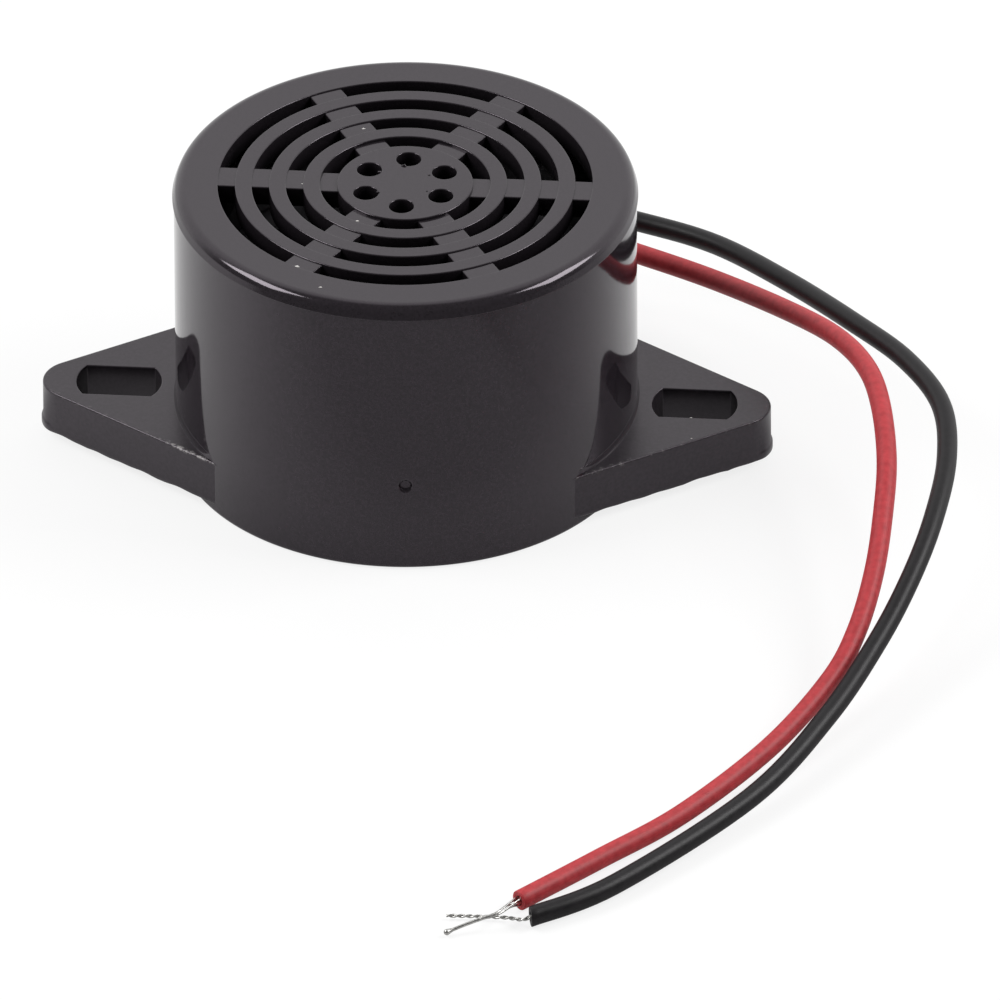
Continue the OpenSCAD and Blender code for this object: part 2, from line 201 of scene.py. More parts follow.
# two mixed tones, uneven roughness and a fine bump, all from one noise of a real grain size
def plainFinish(spec):
    material = bpy.data.materials.new(spec["name"])
    tree = emptyTree(material)
    place = addNode(tree, "TexCoord").outputs["Object"]
    grain = addNode(tree, "TexNoise", {"Scale": 1 / (spec["grainMm"] * mm), "Detail": 4.0}, {"Vector": place})
    grain = grain.outputs["Fac"]
    spread = addNode(tree, "MapRange", grainSpan, {"Value": grain})
    tone = addNode(tree, "Mix", {6: linear(spec["dark"]), 7: linear(spec["light"])},
                   {0: spread.outputs["Result"]}, data_type="RGBA")
    if "deep" in spec:  # painted shade: darker where marked, down in the openings
        marked = addNode(tree, "Attribute", attribute_name="mark")
        tone = addNode(tree, "Mix", {7: linear(spec["deep"])}, {0: marked.outputs["Fac"], 6: tone.outputs[2]},
                       data_type="RGBA")
    rough = addNode(tree, "MapRange", {"To Min": spec["rough"][0], "To Max": spec["rough"][1]},
                    {"Value": grain})
    bump = addNode(tree, "Bump", {"Strength": spec["bump"], "Distance": spec["grainMm"] * grainDepth * mm},
                   {"Height": grain})
    skin = addNode(tree, "BsdfPrincipled",
                   {"Metallic": spec.get("metallic", 0.0), "IOR": usualIor,
                    "Specular IOR Level": spec.get("specular", 0.5),
                    "Specular Tint": linear(spec.get("tint", "#ffffff"))},
                   {"Base Color": tone.outputs[2], "Roughness": rough.outputs["Result"],
                    "Normal": bump.outputs["Normal"]})
    addNode(tree, "OutputMaterial", None, {"Surface": skin.outputs["BSDF"]})
    return material


# Moulded ABS from a polished mould: near black, glossy, with soft flow ripple and pale nicks along its edges,
# part wear and part painted highlight
housingLook = {"name": "abs-moulded-polished", "dark": "#171417", "light": "#262126", "nickAndHighlight": "#b0adab",
               "tint": "#fff4ff", "rough": (0.05, 0.09),
               "rippleMm": 2.2, "rippleBump": 0.2, "rippleDepth": 0.015,
               "grainMm": 0.2, "grainBump": 0.15, "grainDepth": 0.004,
               "nickHighlightMm": 0.35, "nickHighlightLift": 0.14, "nickHighlightFrom": 0.56, "nickHighlightFull": 0.68}


# as plainFinish, with ripple for the roughness, and pale nicks, part wear and part painted highlight,
# where the noise, lifted by the mark, passes a level
def housingFinish(spec):
    material = bpy.data.materials.new(spec["name"])
    tree = emptyTree(material)
    place = {"Vector": addNode(tree, "TexCoord").outputs["Object"]}
    ripple = addNode(tree, "TexNoise", {"Scale": 1 / (spec["rippleMm"] * mm), "Detail": 2.0}, place)
    grain = addNode(tree, "TexNoise", {"Scale": 1 / (spec["grainMm"] * mm), "Detail": 2.0}, place)
    nickAndHighlight = addNode(tree, "TexNoise", {"Scale": 1 / (spec["nickHighlightMm"] * mm), "Detail": 6.0, "Roughness": 0.7},
                   place)
    ripple, grain, nickAndHighlight = (noise.outputs["Fac"] for noise in (ripple, grain, nickAndHighlight))
    wornAndHighlight = addNode(tree, "Attribute", attribute_name="mark").outputs["Fac"]
    raised = addNode(tree, "Math", {1: spec["nickHighlightLift"]}, {0: wornAndHighlight, 2: nickAndHighlight}, operation="MULTIPLY_ADD")
    spots = addNode(tree, "MapRange", {"From Min": spec["nickHighlightFrom"], "From Max": spec["nickHighlightFull"]},
                    {"Value": raised.outputs[0]})
    nickHighlightMask = addNode(tree, "Math", None, {0: spots.outputs["Result"], 1: wornAndHighlight}, operation="MULTIPLY")
    spread = addNode(tree, "MapRange", grainSpan, {"Value": grain})
    tone = addNode(tree, "Mix", {6: linear(spec["dark"]), 7: linear(spec["light"])},
                   {0: spread.outputs["Result"]}, data_type="RGBA")
    colour = addNode(tree, "Mix", {7: linear(spec["nickAndHighlight"])}, {0: nickHighlightMask.outputs[0], 6: tone.outputs[2]},
                     data_type="RGBA")
    rough = addNode(tree, "MapRange", {"To Min": spec["rough"][0], "To Max": spec["rough"][1]},
                    {"Value": ripple})
    soft = addNode(tree, "Bump", {"Strength": spec["rippleBump"], "Distance": spec["rippleDepth"] * mm},
                   {"Height": ripple})
    fine = addNode(tree, "Bump", {"Strength": spec["grainBump"], "Distance": spec["grainDepth"] * mm},
                   {"Height": grain, "Normal": soft.outputs["Normal"]})
    skin = addNode(tree, "BsdfPrincipled", {"IOR": usualIor, "Specular Tint": linear(spec["tint"])},
                   {"Base Color": colour.outputs[2], "Roughness": rough.outputs["Result"],
                    "Normal": fine.outputs["Normal"]})
    addNode(tree, "OutputMaterial", None, {"Surface": skin.outputs["BSDF"]})
    return material


housingPlastic = housingFinish(housingLook)
# The same ABS where the mould was less polished: the ears mirror nothing sharply
earPlastic = housingFinish({**housingLook, "name": "abs-moulded-satin", "rough": (0.26, 0.34)})

# Moulded ABS from an etched mould: a grey-black skin with a soft sheen, a fine even grain and a deeper tone
# painted as shade down in its openings
coverPlastic = plainFinish({"name": "abs-moulded-etched", "dark": "#1e1b1e", "light": "#262226",
                            "grainMm": 0.2, "rough": (0.08, 0.14), "bump": 0.04, "tint": "#fff4ff",
                            "deep": "#0d0b0d"})
# Extruded PVC insulation: soft satin with a faint cloudiness
redInsulation = plainFinish({"name": "pvc-extruded-red", "dark": "#a22a30", "light": "#bb383e",
                             "grainMm": 0.4, "rough": (0.44, 0.56), "bump": 0.12, "specular": 0.36})
blackInsulation = plainFinish({"name": "pvc-extruded-black", "dark": "#0e0c0e", "light": "#191619",
                               "grainMm": 0.4, "rough": (0.38, 0.5), "bump": 0.12, "specular": 0.28})
# Tinned copper strand: bright grey metal, slightly dull where the tin has run
tinnedStrand = plainFinish({"name": "copper-tinned", "dark": "#a3a2a0", "light": "#e2e1dd", "grainMm": 0.12,
                            "rough": (0.22, 0.42), "bump": 0.3, "metallic": 1.0})
# House dust: pale dull lint
paleDust = plainFinish({"name": "dust-lint", "dark": "#b9b6b2", "light": "#e6e4e0", "grainMm": 0.05,
                        "rough": (0.8, 0.95), "bump": 0.5})
print("outer materials made")


# Leads: Catmull-Rom curves through the CAD model's own route points
redLead = {"x": 1.5, "length": 91, "slant": 0.1, "route": [
    [1.5, 14.3, 5.3], [3.2, 16.2, 5.3], [7.8, 15.8, 5.1], [12.7, 13.9, 4.8], [17.4, 10.8, 5.2],
    [22.2, 5.6, 6.6], [25.3, 1.5, 7.6], [27.3, -2.2, 8], [28.4, -5.8, 7.8], [29.1, -10.3, 7],
    [29.2, -14.3, 5.9], [29, -18.8, 4.6], [28.3, -23.2, 3.3], [27, -26.9, 2.2],
    [23.9, -32.8, 1.25], [19.3, -39.4, 0.75], [14.9, -44.2, 0.62], [10.6, -48.9, 0.62]]}
blackLead = {"x": -1.5, "length": 102, "slant": 0.4, "route": [
    [-1.5, 14.6, 5.3], [0.2, 17.5, 5.4], [4, 18.7, 5.4], [8.4, 17.9, 5.3], [12.6, 16.9, 5.1],
    [17.2, 14.2, 5.5], [21.8, 9.3, 6.3], [26, 3.9, 7.2], [29.5, -0.6, 7.6], [31.9, -5.1, 7.5],
    [32.6, -9.9, 6.9], [32.2, -15, 6], [31.2, -19.6, 4.8], [29.6, -24.4, 3.4], [27.1, -30.6, 2.1],
    [23.2, -37.9, 1.1], [16, -46.9, 0.7], [11.4, -50.5, 0.62]]}
leadSet = {"diameter": 1.2, "coreDiameter": 0.56, "endRound": 0.04, "coreRecess": 0.4, "innerY": 11.7,
           "wallY": 13.5, "z": 5.3, "sides": 28, "wallSteps": 8, "steps": 10}


def leadShell(spec):  # straight through the wall, along the route, then a cut end with a bored face
    inner = [spec["x"], leadSet["innerY"], leadSet["z"]]
    straight = np.linspace(inner, spec["route"][0], leadSet["wallSteps"])[:-1]
    path = np.vstack([straight, catmullRom(spec["route"], leadSet["steps"])])
    r, e, core = leadSet["diameter"] / 2, leadSet["endRound"], leadSet["coreDiameter"] / 2
    body = swept(path, np.full(len(path), r), leadSet["sides"])
    headings, sideways, _ = levelFrame(path)
    centre, heading = path[-1], headings[-1]
    spokes = (body[-1] - centre) / r
    lean = -spec["slant"] * (spokes @ sideways[-1])[:, None]  # the cut isn't square: its near side is longer
    # rows of the cut end: radius and distance along the heading, past or before the last point
    ease, deep = 0.3 * e, leadSet["coreRecess"]
    cutRows = [(r - ease, -ease), (r - e, 0), (core + e, 0), (core, -e), (core, -deep), (pinch, -deep)]
    body[-1] += (r * lean - e) * heading
    cap = np.stack([centre + k * spokes + (d + k * lean) * heading for k, d in cutRows])
    start = path[0] + (body[0] - path[0]) * pinch
    return shell(np.concatenate([start[None], body, cap]), wrapRows=False), path


# Stripped ends: the black lead's strands lie in a loose two-ply twist, and the red's fan out and run into
# a tinned tip
blackEnd = {"route": [[11.32, -50.56, 0.62], [10.95, -50.7, 0.52], [9.9, -50.2, 0.28], [8.15, -50.15, 0.25],
                      [6.5, -50.2, 0.25]],
            "steps": 40, "ply": 2, "plyRadius": 0.062, "twistRadius": 0.06, "pitch": 1.0}
# the lengths of fan, strands, rod and tip are shares of the route or of the rod
redEnd = {"route": [[10.54, -48.97, 0.62], [10.2, -49.5, 0.76], [9.5, -50.8, 0.95], [8.6, -51.2, 0.8],
                    [7.6, -51.5, 0.5], [6.5, -52.05, 0.25]],
          "steps": 30, "strands": 6, "strandRadius": 0.05, "fan": 0.3, "fanEnd": 0.5, "bundle": 0.06,
          "twist": 2.2, "strandEnd": 0.62, "rodStart": 0.42, "rodTaper": 0.15, "rodThin": 0.3,
          "rodRadius": 0.105, "rodSides": 14, "tipRadius": 0.19, "tipFrom": 0.82, "tipFull": 0.94,
          "tipCap": 0.06}
hidden = 0.25  # length of strand inside the insulation


def closedRod(path, radii, sides=10):  # rod with both ends drawn in to a point
    grid = swept(path, radii, sides)
    first, last = (path[k] + (grid[k] - path[k]) * 10 * pinch for k in (0, -1))
    return shell(np.concatenate([first[None], grid, last[None]]), wrapRows=False)


def twistedEnd(spec):  # each ply is a helix about the route, drawn back into the insulation at its start
    line = catmullRom(spec["route"], spec["steps"])
    run = np.concatenate([[0], np.cumsum(np.linalg.norm(np.diff(line, axis=0), axis=1))])
    heading, side, up = levelFrame(line)
    shells = []
    for ply in range(spec["ply"]):
        turn = (2 * math.pi * (run / spec["pitch"] + ply / spec["ply"]))[:, None]
        path = line + spec["twistRadius"] * (np.cos(turn) * side + np.sin(turn) * up)
        path = np.vstack([path[0] - heading[0] * hidden, path])
        shells.append(closedRod(path, np.full(len(path), spec["plyRadius"])))
    return shells


def fannedEnd(spec):  # strands spread from the cut face and meet in a rod that swells to a rounded tip
    line = catmullRom(spec["route"], spec["steps"])
    share = np.linspace(0, 1, len(line))
    heading, side, up = levelFrame(line)
    shells = []
    for k in range(spec["strands"]):
        turn = 2 * math.pi * k / spec["strands"] + spec["twist"] * share[:, None]
        uneven = 0.35 + 0.65 * (k % 3) / 2  # every third strand stands out farthest
        spread = spec["fan"] * np.clip(1 - share / spec["fanEnd"], 0, 1)[:, None] * uneven + spec["bundle"]
        path = line + spread * (np.cos(turn) * side + np.sin(turn) * up)
        path = np.vstack([path[0] - heading[0] * hidden, path[: int(len(path) * spec["strandEnd"])]])
        shells.append(closedRod(path, np.full(len(path), spec["strandRadius"])))
    rod = line[int(len(line) * spec["rodStart"]):]
    along = np.linspace(0, 1, len(rod))
    radii = spec["rodRadius"] * np.clip(along / spec["rodTaper"], spec["rodThin"], 1)
    radii = radii + (spec["tipRadius"] - spec["rodRadius"]) * smooth(spec["tipFrom"], spec["tipFull"], along)
    radii = radii * np.sqrt(np.clip((1 + pinch - along) / spec["tipCap"], 0, 1))
    shells.append(closedRod(rod, radii, spec["rodSides"]))
    return shells


def addLead(name, spec, material, slot):  # one lead as a swept tube in place of its CAD node
    tube, path = leadShell(spec)
    lead = addPiece(name, [tube], material, [slot.split("_")[0] + "_lead"])


redTip = addPiece("redBareEnd", fannedEnd(redEnd), tinnedStrand, ["red_bare_end"])
blackTip = addPiece("blackBareEnd", twistedEnd(blackEnd), tinnedStrand, ["black_bare_end"])
addLead("redLead", redLead, redInsulation, "red_insulation")
addLead("blackLead", blackLead, blackInsulation, "black_insulation")


# Housing: a turned wall with dimples, and two ears that are outlines carried round their slots
housingSet = {"radius": 13.6, "bore": 12.2, "height": 17.35, "floor": 1.6, "footRound": 0.29,
              "lipRound": 0.05, "floorRound": 0.2, "gateAngle": -85.5, "gateZ": 5.8, "gateRadius": 0.45,
              "gateDepth": 0.2, "gateSoft": 0.55,
              "leadX": 1.5, "leadZ": 5.3, "leadHole": 0.65, "holeDepth": 0.9, "holeSoft": 0.04,
              "wallStep": 1.25, "gateSpan": 3.0, "gateColumns": 41, "backSpan": 10.5, "backColumns": 141}
# the ears' rubbed and worn shares set pale nicks on their top edge: part wear, part painted highlight
earSet = {"slotX": 17.0, "slotLength": 5.0, "slotWidth": 3.0, "tipX": 19.4, "tipRadius": 2.1,
          "flareRadius": 13.0, "rootRadius": 12.6, "rootCorner": (-7.18, 9.04), "rootLanding": (-5.17, 4.34),
          "low": 0.6, "high": 3.52, "partStep": 0.1, "partHeight": 0.55, "edgeRound": 0.1, "slotRound": 0.08,
          "flash": 0.055, "fillet": 0.8, "filletTilt": 30, "filletReach": 39.5, "filletColumns": 120,
          "filletSink": 0.05, "rubbedHighlightLeft": 0.55, "rubbedHighlightRight": 0.16, "wornHighlightFront": 0.14, "wornHighlightBack": 0.1,
          "wornHighlightFrom": 15.8, "wornHighlightFull": 14.6, "columns": 720}


def wallShell(s):  # radius falls inside each dimple by its depth, as a soft-edged disc on the wall
    # rows up the wall, close together where the dimples are
    heights = np.concatenate([[1.2, 2.4, 3.4, 4.0], np.arange(4.4, 6.6, 0.06), [7.5, 9, 11, 13, 15, 16.5]])
    outer = np.column_stack([np.full_like(heights, s["radius"]), heights])
    cup = rounded([[0, 0], [s["radius"], 0], [s["radius"], s["height"]], [s["bore"], s["height"]],
                   [s["bore"], s["floor"]], [0, s["floor"]]],
                  [0, s["footRound"], s["lipRound"], s["lipRound"], s["floorRound"], 0])
    split = np.flatnonzero(cup[:, 1] > s["height"] / 2)[0]
    outline = np.concatenate([cup[:split], outer, cup[split:]])
    # columns round the wall, close together at the gate mark and at the leads' holes
    gate = s["gateAngle"] + np.linspace(-s["gateSpan"], s["gateSpan"], s["gateColumns"])
    back = 90 + np.linspace(-s["backSpan"], s["backSpan"], s["backColumns"])
    rest = np.arange(-180, 180, s["wallStep"])
    clear = 0.2  # degrees between the close columns and the others
    offGate = np.abs(rest - s["gateAngle"]) > s["gateSpan"] + clear
    offBack = np.abs(rest - 90) > s["backSpan"] + clear
    angles = np.radians(np.sort(np.concatenate([rest[offGate & offBack], gate, back])))
    grid = revolved(outline, angles)
    onWall = np.abs(np.hypot(grid[..., 0], grid[..., 1]) - s["radius"]) < 1e-6
    across = s["radius"] * (angles[:, None] - math.radians(s["gateAngle"]))
    gateAway = np.hypot(across, grid[..., 2] - s["gateZ"]) / s["gateRadius"]
    gateDip = s["gateDepth"] * (1 - smooth(s["gateSoft"], 1.0, gateAway))
    holes = [np.hypot(grid[..., 0] - x, grid[..., 2] - s["leadZ"]) for x in (s["leadX"], -s["leadX"])]
    holeAway = np.minimum(*holes) / s["leadHole"]
    inHole = 1 - smooth(1 - s["holeSoft"], 1 + s["holeSoft"], holeAway)
    holeDip = s["holeDepth"] * inHole * (grid[..., 1] > 0)
    dip = (gateDip + holeDip) * onWall
    grid[..., :2] *= (1 - dip / s["radius"])[..., None]
    return shell(grid)


def earOutline(s, angle):  # distance from the slot's centre to the ear's edge, and the edge's outward normal
    ray = np.stack([np.cos(angle), np.sin(angle)], -1)
    lean = math.acos((s["flareRadius"] - s["tipRadius"]) / s["tipX"])
    offset = s["tipX"] - s["slotX"]
    # tip arc: ray from the slot's centre to a circle around the tip's centre
    along = ray[:, 0] * offset
    tip = along + np.sqrt(np.maximum(along ** 2 - offset ** 2 + s["tipRadius"] ** 2, 0))
    tipNormal = (ray * tip[:, None] - [offset, 0]) / s["tipRadius"]
    # straight edges: tangent to the flare circle and the tip circle, above and below
    edgeNormal = np.stack([np.full_like(angle, math.cos(lean)), np.sign(ray[:, 1]) * math.sin(lean)], -1)
    toward = np.maximum(np.einsum("ij,ij->i", ray, edgeNormal), 1e-3)
    edge = (s["flareRadius"] - s["slotX"] * math.cos(lean)) / toward
    # root: the near side of a circle inside the housing's wall
    half = ray[:, 0] * s["slotX"]
    inside = half ** 2 - s["slotX"] ** 2 + s["rootRadius"] ** 2
    root = -half - np.sqrt(np.maximum(inside, 0))
    # inside the wall a chord joins each straight edge to that circle, and its normal turns to the ray
    corner, landing = s["rootCorner"], s["rootLanding"]
    chord = np.subtract(landing, corner)
    upper = np.abs(ray[:, 1])
    across = np.where(ray[:, 0] < 0, ray[:, 0] * chord[1] - upper * chord[0], 1)
    chordReach = (corner[0] * chord[1] - corner[1] * chord[0]) / across
    fromRoot = np.arctan2(upper, -ray[:, 0])
    cornerAngle, landingAngle = math.atan2(corner[1], -corner[0]), math.atan2(landing[1], -landing[0])
    onTip = tipNormal[:, 0] > math.cos(lean)
    reach = np.select([onTip, fromRoot > cornerAngle, fromRoot > landingAngle], [tip, edge, chordReach], root)
    turned = np.clip((cornerAngle - fromRoot) / (cornerAngle - landingAngle), 0, 1)[:, None]
    normal = np.where(onTip[:, None], tipNormal, edgeNormal * (1 - turned) + ray * turned)
    return ray * reach[:, None], normal


def slotOutline(s, angle):  # round hole cut down by two flats, and the way from its middle into the material
    ray = np.stack([np.cos(angle), np.sin(angle)], -1)
    flat = s["slotWidth"] / 2 / np.maximum(np.abs(ray[:, 1]), 1e-6)
    onArc = flat > s["slotLength"] / 2
    reach = np.where(onArc, s["slotLength"] / 2, flat)
    normal = np.where(onArc[:, None], ray, np.stack([0 * angle, np.sign(ray[:, 1])], -1))
    return ray * reach[:, None], normal


# a section of insets and heights is carried round the ear, from its edge across the top to the slot
def earShell(s, side):
    angle = (np.arange(s["columns"]) + 0.5) * 2 * math.pi / s["columns"]
    edge, edgeNormal = earOutline(s, angle)
    slot, slotNormal = slotOutline(s, angle)
    e, k, turn = s["edgeRound"], s["slotRound"], np.linspace(0, math.pi / 2, 6)
    low, high, part = s["low"], s["high"], s["low"] + s["partHeight"]
    lip = s["partStep"] * smooth(0.6, 0.9, edgeNormal[:, 0])  # the parting lip stands out round the tip only
    waves = ((1.0, 0.8, side), (0.6, 1.7, 1 - side), (0.3, 4.3, 0))  # share, rate and start of each
    wave = s["flash"] * np.abs(sum(share * np.sin(rate * edge[:, 0] + start) for share, rate, start in waves))
    # rows up the edge: inset, height, share of the lip and share of the ragged flash
    edgeRows = [(0.25, low, 0, 0.3), (0.06, low + 0.02, 1, 1), (0.0, low + 0.1, 1, 0.8),
                (0.0, low + 0.3, 1, 0), (0.0, part - 0.1, 1, 0), (0.0, part, 0.6, 0),
                (0.0, part + 0.05, 0, 0), (0.0, high - e - 0.15, 0, 0), (0.0, high - e - 0.05, 0, 0)]
    edgeRows += [(e * (1 - math.cos(t)), high - e + e * math.sin(t), 0, 0) for t in turn]
    edgeRows += [(e + further, high, 0, 0) for further in (0.03, 0.14, 0.24)]
    # rows down the slot: inset and height
    slotRows = [(k + 0.03, high)] + [(k * (1 - math.sin(t)), high - k + k * math.cos(t)) for t in turn]
    slotRows += [(0.0, high - k - 0.1), (0.0, low + 0.1), (0.1, low)]
    outer = [np.column_stack([edge - edgeNormal * (i - lip * a)[:, None], z + wave * b])
             for i, z, a, b in edgeRows]
    inner = [np.column_stack([slot + slotNormal * i, np.full(len(angle), z)]) for i, z in slotRows]
    level = [(1 - t) * outer[-1] + t * inner[0] for t in (0.15, 0.3)]  # even rows keep the top flat
    grid = np.stack(outer + level + inner)
    # wear and painted highlight: full over the rounded edge, and strongest at the front beside the wall
    rowWearHighlight = np.zeros(len(grid))
    rowWearHighlight[8:17] = [0.3, 0.6, 0.9, 1.0, 1.0, 1.0, 1.0, 1.0, 0.7]
    nearWall = smooth(s["wornHighlightFrom"], s["wornHighlightFull"], np.hypot(edge[:, 0] + s["slotX"], edge[:, 1]))
    rubbedHighlight = s["rubbedHighlightLeft"] if side < 0 else s["rubbedHighlightRight"]
    columnWearHighlight = np.where(edge[:, 1] * side < 0, s["wornHighlightFront"] + rubbedHighlight * nearWall, s["wornHighlightBack"])
    grid[..., 0] += s["slotX"]
    grid[..., :2] *= side
    return shell(grid, mark=rowWearHighlight[:, None] * columnWearHighlight[None, :])


def filletShell(s, radius, side):  # arc that leaves the wall upright and leans out to the ear's top
    reach, tilt, columns = math.radians(s["filletReach"]), math.radians(s["filletTilt"]), s["filletColumns"]
    angle = np.linspace(-reach, reach, columns)
    lean = math.acos((s["flareRadius"] - s["tipRadius"]) / s["tipX"])
    room = s["flareRadius"] / np.cos(lean - np.abs(angle)) - radius - 0.5 * s["edgeRound"]
    size = np.clip(np.minimum(s["fillet"], room / (1 - math.cos(tilt))), 0.03, None)[:, None]
    t = np.sort(np.append(np.linspace(0, tilt, 9), tilt - 1e-3))
    r, z = radius + size * (1 - np.cos(t)), s["high"] + size * (math.sin(tilt) - np.sin(t))
    low, back = np.full((columns, 1), s["high"] - s["filletSink"]), np.full((columns, 1), radius - 0.2)
    r, z = np.concatenate([r, r[:, -1:], back, back], 1), np.concatenate([z, low, low, z[:, :1]], 1)
    grid = np.stack([r * np.cos(angle)[:, None] * side, r * np.sin(angle)[:, None] * side, z], -1)
    ends = grid[[0, -1]].mean(1, keepdims=True) + 0 * grid[[0, -1]]
    return shell(np.concatenate([ends[:1], grid, ends[1:]]), wrapRows=False)


wallShells = [wallShell(housingSet)] + [filletShell(earSet, housingSet["radius"], side) for side in (1, -1)]
addPiece("housingWall", wallShells, housingPlastic, ["housing"])
addPiece("housingEars", [earShell(earSet, side) for side in (1, -1)], earPlastic)


# Cover: turned rim and rings, sunk spokes between them, and a hub of six drilled sectors
coverSet = {"radius": 13.7, "top": 18.2, "seat": 17.35, "edgeRound": 0.7, "edgeDraft": 20, "plateUnder": 16.9,
            "skirtOuter": 12.1, "skirtInner": 11.2, "skirtFoot": 11.5, "skirtRound": 0.05, "seatRound": 0.04,
            "underRound": 0.03, "hub": 4.0, "hubBand": 0.4, "slot": 1.0, "land": 1.0, "rings": 4,
            "slotRound": 0.07, "spokes": 6, "spokeWidth": 2.0, "spokeSink": 0.08, "hubSink": 0.17,
            "spokeRound": 0.06, "holeRadius": 0.725, "holeAt": 2.55, "holeRound": 0.06,
            "ringColumns": 256, "rimColumns": 320}


def sunk(grid, s, sink):  # marks what lies below the spokes' top, inside the cover's rim, where the finish paints shade
    inside = np.hypot(grid[..., 0], grid[..., 1]) < s["skirtOuter"]
    return np.clip((s["top"] - sink - 0.02 - grid[..., 2]) / 0.1, 0, 1) * inside


def coverShell(grid, s, sink=coverSet["spokeSink"], **wraps):  # shell of the cover, marked by its depth for the painted shade
    return shell(grid, mark=sunk(grid, s, sink), **wraps)


def ringShell(inner, outer, s):  # a flat ring with rounded upper edges
    under, top, u, k = s["plateUnder"], s["top"], s["underRound"], s["slotRound"]
    outline = rounded([[inner, under], [outer, under], [outer, top], [inner, top]], [u, u, k, k], 4)
    return coverShell(revolved(outline, np.arange(s["ringColumns"]) * 2 * math.pi / s["ringColumns"]), s)


def rimShell(s):  # rim, plate edge and skirt in one turned outline
    inner = s["hub"] + s["rings"] * s["slot"] + (s["rings"] - 1) * s["land"]
    under, seat, top = s["plateUnder"], s["seat"], s["top"]
    lean = (top - seat) * math.tan(math.radians(s["edgeDraft"]))
    corners = [[inner, under], [s["skirtInner"], under], [s["skirtInner"], s["skirtFoot"]],
               [s["skirtOuter"], s["skirtFoot"]], [s["skirtOuter"], seat], [s["radius"], seat],
               [s["radius"] - lean, top], [inner, top]]
    radii = [s["underRound"], 0, s["skirtRound"], s["skirtRound"], 0, s["seatRound"], s["edgeRound"],
             s["slotRound"]]
    outline = rounded(corners, radii, 14)
    return coverShell(revolved(outline, np.arange(s["rimColumns"]) * 2 * math.pi / s["rimColumns"]), s)


def spokeShell(inner, turn, s):  # rounded bar across one ring of slots, from land to land
    sink = s["hubSink"] if inner == s["hub"] else s["spokeSink"]  # the innermost spokes lie deepest
    half, under, top, outer = s["spokeWidth"] / 2, s["plateUnder"], s["top"] - sink, inner + s["slot"]
    u, k = s["underRound"], s["spokeRound"]
    section = rounded([[-half, under], [half, under], [half, top], [-half, top]], [u, u, k, k], 3)
    # both ends reach into the lands, and are drawn in to a point half a millimetre above the underside
    run = np.array([inner - 0.35, inner - 0.3, inner - 0.25, outer + 0.2, outer + 0.25, outer + 0.3])[:, None]
    squeeze = np.array([pinch, 1, 1, 1, 1, pinch])[:, None]
    x = np.broadcast_to(run, (len(run), len(section)))
    y, z = section[:, 0][None] * squeeze, (section[:, 1] - under - 0.5)[None] * squeeze + under + 0.5
    return coverShell(turnedAbout(x, y, z, turn), s, sink, wrapRows=False)


# six sectors, each carried round its hole, share their sides, and a turned rim closes them
def hubShells(s):
    half, rim, k = math.pi / s["spokes"], s["hub"] - s["hubBand"], s["holeRound"]
    under, top, at = s["plateUnder"], s["top"], s["holeAt"]
    corner = math.atan2(rim * math.sin(half), rim * math.cos(half) - at)
    arcTurn, sideTurn = np.linspace(-corner, corner, 49), np.linspace(corner, math.pi, 41)[1:]
    angle = np.concatenate([arcTurn, sideTurn, -sideTurn[-2::-1]])
    ray = np.stack([np.cos(angle), np.sin(angle)], -1)
    # reach from the hole's centre to the rim's arc, or to the sector's straight sides
    arc = -ray[:, 0] * at + np.sqrt(np.maximum(rim ** 2 - (ray[:, 1] * at) ** 2, 0))
    toward = -ray[:, 0] * math.sin(half) + np.abs(ray[:, 1]) * math.cos(half)
    straight = at * math.sin(half) / np.where(toward > 0.01, toward, 1)
    edge = ray * np.where(np.abs(angle) <= corner + 1e-9, arc, straight)[:, None]
    # rows down the hole: distance past its radius and height
    rows = [(k + 0.02, top)]
    rows += [(k * (1 - math.sin(t)), top - k + k * math.cos(t)) for t in np.linspace(0, math.pi / 2, 5)]
    rows += [(0, top - k - 0.05), (0, under)]
    rings = [(edge, top)] + [(ray * (s["holeRadius"] + i), z) for i, z in rows] + [(edge, under)]
    sector = np.stack([np.column_stack([ring, np.full(len(angle), z)]) for ring, z in rings])
    x, y, z = sector[..., 0] + at, sector[..., 1], sector[..., 2]
    turns = half + np.arange(s["spokes"]) * 2 * half
    shells = [coverShell(turnedAbout(x, y, z, turn), s, wrapRows=False) for turn in turns]
    # the rim's columns stand where the sectors' arcs have theirs
    onArc = edge[:len(arcTurn) - 1]
    rimTurn = np.arctan2(onArc[:, 1], onArc[:, 0] + at)
    outline = rounded([[rim, under], [s["hub"], under], [s["hub"], top], [rim, top]],
                      [0, s["underRound"], s["slotRound"], 0], 4)
    ring = revolved(outline, (turns[:, None] + rimTurn[None]).reshape(-1))
    return shells + [coverShell(ring, s, wrapCols=False)]


# Burrs: torn bits beside the hub's holes: hole, degrees from the side next to the hub's middle, distance
# from the hole's centre, half length and darkness, which paints the openings' shade onto the burr
burrSet = [(0, -6.6, 0.93, 0.09, 1), (5, 3, 0.945, 0.08, 1), (1, -15, 0.79, 0.16, 1), (2, 7.6, 0.67, 0.12, 0),
           (3, -21.6, 0.71, 0.12, 0)]


def flakeShell(x, y, z, size, tall=0.35, mark=None):  # flattened egg with a three-lobed waist
    u = np.linspace(0.001, math.pi - 0.001, 7)[:, None]
    v = (np.arange(10) * 2 * math.pi / 10)[None, :]
    waist = size * np.sin(u) * (1 + 0.25 * np.sin(3 * v + 40 * x))
    egg = np.broadcast_arrays(x + waist * np.cos(v), y + 0.6 * waist * np.sin(v), z + tall * size * np.cos(u))
    return shell(np.stack(egg, -1), wrapRows=False, mark=mark)


